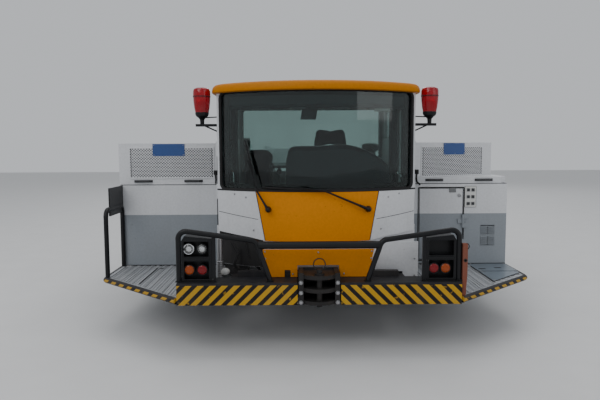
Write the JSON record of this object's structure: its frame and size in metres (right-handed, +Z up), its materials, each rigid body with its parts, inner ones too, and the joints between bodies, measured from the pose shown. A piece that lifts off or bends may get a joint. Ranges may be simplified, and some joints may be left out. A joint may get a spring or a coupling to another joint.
{
  "type": "aircraft pushback tractor",
  "caption": "Low heavy pushback tractor with a front cab, side boxes with lifting hoods, steered wheels, guard rails and tow hitches.",
  "frame": {"origin": "on the ground, below the middle of the tractor's overall box", "axes": "+X to the right of someone who faces the cab end, +Y from the cab end to the tail, +Z up. Left and right in names are as seen facing the cab end."},
  "size_m": [3.5, 8.6, 2.01],
  "materials": {
    "frame_black": "matt, dusty",
    "yellow_paint": "semi-gloss, worn",
    "ribbed_aluminium": "ribbed, scuffed",
    "white_paint": "semi-gloss, lightly dirty",
    "grey_paint": "semi-gloss, lightly dirty",
    "clear_glass": "clear, slightly tinted",
    "dark_plastic": "grained",
    "seat_cloth": "woven",
    "black_paint": "satin, chipped",
    "red_lens": "clear-coated lens",
    "rusty_steel": "rusted",
    "cast_black": "rough, greasy",
    "cast_grey": "rough",
    "rim_paint": "semi-gloss, dirty",
    "tyre_rubber": "matt, dusty",
    "plain_steel": "plain"
  },
  "bodies": {
    "root": {"chassis": "frame_black", "bumpers": "yellow_paint", "platforms": "ribbed_aluminium", "deck": "white_paint", "side_pods": "grey_paint", "side_boxes": "white_paint", "cab_frame": "white_paint", "cab_roof": "yellow_paint", "cab_glass": "clear_glass", "yellow_panels": "yellow_paint", "white_panels": "white_paint", "dashboard": "dark_plastic", "seats": "seat_cloth", "wipers": "black_paint", "beacons": "red_lens", "guard_rails": "black_paint", "lamp_boxes": "black_paint", "steel_post": "rusty_steel", "hitches": "cast_black", "cowl": "white_paint", "engine": "cast_grey", "axles": "cast_black"},
    "left_hood": {"hood_left": "white_paint"},
    "right_hood": {"hood_right": "white_paint"},
    "locker": {"locker_door": "grey_paint"},
    "left_door": {"door_left": "white_paint", "door_glass_left": "clear_glass"},
    "right_door": {"door_right": "white_paint", "door_glass_right": "clear_glass"},
    "left_lid": {"cowl_lid_left": "white_paint"},
    "right_lid": {"cowl_lid_right": "white_paint"},
    "knuckle_fl": {"knuckle_fl": "cast_grey"},
    "wheel_fl": {"rim_fl": "rim_paint", "tyre_fl": "tyre_rubber"},
    "knuckle_fr": {"knuckle_fr": "cast_grey"},
    "wheel_fr": {"rim_fr": "rim_paint", "tyre_fr": "tyre_rubber"},
    "knuckle_rl": {"knuckle_rl": "cast_grey"},
    "wheel_rl": {"rim_rl": "rim_paint", "tyre_rl": "tyre_rubber"},
    "knuckle_rr": {"knuckle_rr": "cast_grey"},
    "wheel_rr": {"rim_rr": "rim_paint", "tyre_rr": "tyre_rubber"},
    "front_track_rod": {"track_rod_front": "plain_steel"},
    "rear_track_rod": {"track_rod_rear": "plain_steel"}
  },
  "joints": [
    {"name": "front_left_steer", "type": "hinge", "parent": "root", "child": "knuckle_fl", "pos_m": [-1.31, -1.29, 0.62], "axis": [0, 0, 1], "range_deg": [-25, 25]},
    {"name": "front_right_steer", "type": "hinge", "parent": "root", "child": "knuckle_fr", "pos_m": [1.31, -1.29, 0.62], "axis": [0, 0, 1], "range_deg": [-25, 25]},
    {"name": "front_rod_swing", "type": "hinge", "parent": "knuckle_fl", "child": "front_track_rod", "pos_m": [-1.31, -0.96, 0.59], "axis": [0, 0, 1], "range_deg": [-25, 25]},
    {"name": "rear_left_steer", "type": "hinge", "parent": "root", "child": "knuckle_rl", "pos_m": [-1.31, 2.61, 0.62], "axis": [0, 0, 1], "range_deg": [-25, 25]},
    {"name": "rear_right_steer", "type": "hinge", "parent": "root", "child": "knuckle_rr", "pos_m": [1.31, 2.61, 0.62], "axis": [0, 0, 1], "range_deg": [-25, 25]},
    {"name": "rear_rod_swing", "type": "hinge", "parent": "knuckle_rl", "child": "rear_track_rod", "pos_m": [-1.31, 2.28, 0.59], "axis": [0, 0, 1], "range_deg": [-25, 25]},
    {"name": "front_left_spin", "type": "hinge", "parent": "knuckle_fl", "child": "wheel_fl", "pos_m": [-1.525, -1.29, 0.62], "axis": [1, 0, 0], "continuous": true},
    {"name": "front_right_spin", "type": "hinge", "parent": "knuckle_fr", "child": "wheel_fr", "pos_m": [1.525, -1.29, 0.62], "axis": [1, 0, 0], "continuous": true},
    {"name": "rear_left_spin", "type": "hinge", "parent": "knuckle_rl", "child": "wheel_rl", "pos_m": [-1.525, 2.61, 0.62], "axis": [1, 0, 0], "continuous": true},
    {"name": "rear_right_spin", "type": "hinge", "parent": "knuckle_rr", "child": "wheel_rr", "pos_m": [1.525, 2.61, 0.62], "axis": [1, 0, 0], "continuous": true},
    {"name": "left_door_swing", "type": "hinge", "parent": "root", "child": "left_door", "pos_m": [-0.797, -3.587, 1.3], "axis": [0, 0, 1], "range_deg": [0, 70]},
    {"name": "right_door_swing", "type": "hinge", "parent": "root", "child": "right_door", "pos_m": [0.797, -3.587, 1.3], "axis": [0, 0, -1], "range_deg": [0, 70]},
    {"name": "left_hood_lift", "type": "hinge", "parent": "root", "child": "left_hood", "pos_m": [-1.31, -2.079, 1.539], "axis": [-1, 0, 0], "range_deg": [0, 65]},
    {"name": "right_hood_lift", "type": "hinge", "parent": "root", "child": "right_hood", "pos_m": [1.31, -2.079, 1.539], "axis": [-1, 0, 0], "range_deg": [0, 65]},
    {"name": "locker_swing", "type": "hinge", "parent": "root", "child": "locker", "pos_m": [1.35, -3.083, 0.8], "axis": [0, 0, 1], "range_deg": [0, 100]},
    {"name": "left_lid_lift", "type": "hinge", "parent": "root", "child": "left_lid", "pos_m": [-0.012, 0.11, 1.501], "axis": [0, 1, 0], "range_deg": [0, 70]},
    {"name": "right_lid_lift", "type": "hinge", "parent": "root", "child": "right_lid", "pos_m": [0.012, 0.11, 1.501], "axis": [0, -1, 0], "range_deg": [0, 70]}
  ],
  "couplings": [
    {"joint": "front_right_steer", "follows": "front_left_steer", "ratio": 1},
    {"joint": "front_rod_swing", "follows": "front_left_steer", "ratio": -1},
    {"joint": "rear_right_steer", "follows": "rear_left_steer", "ratio": 1},
    {"joint": "rear_rod_swing", "follows": "rear_left_steer", "ratio": -1}
  ]
}
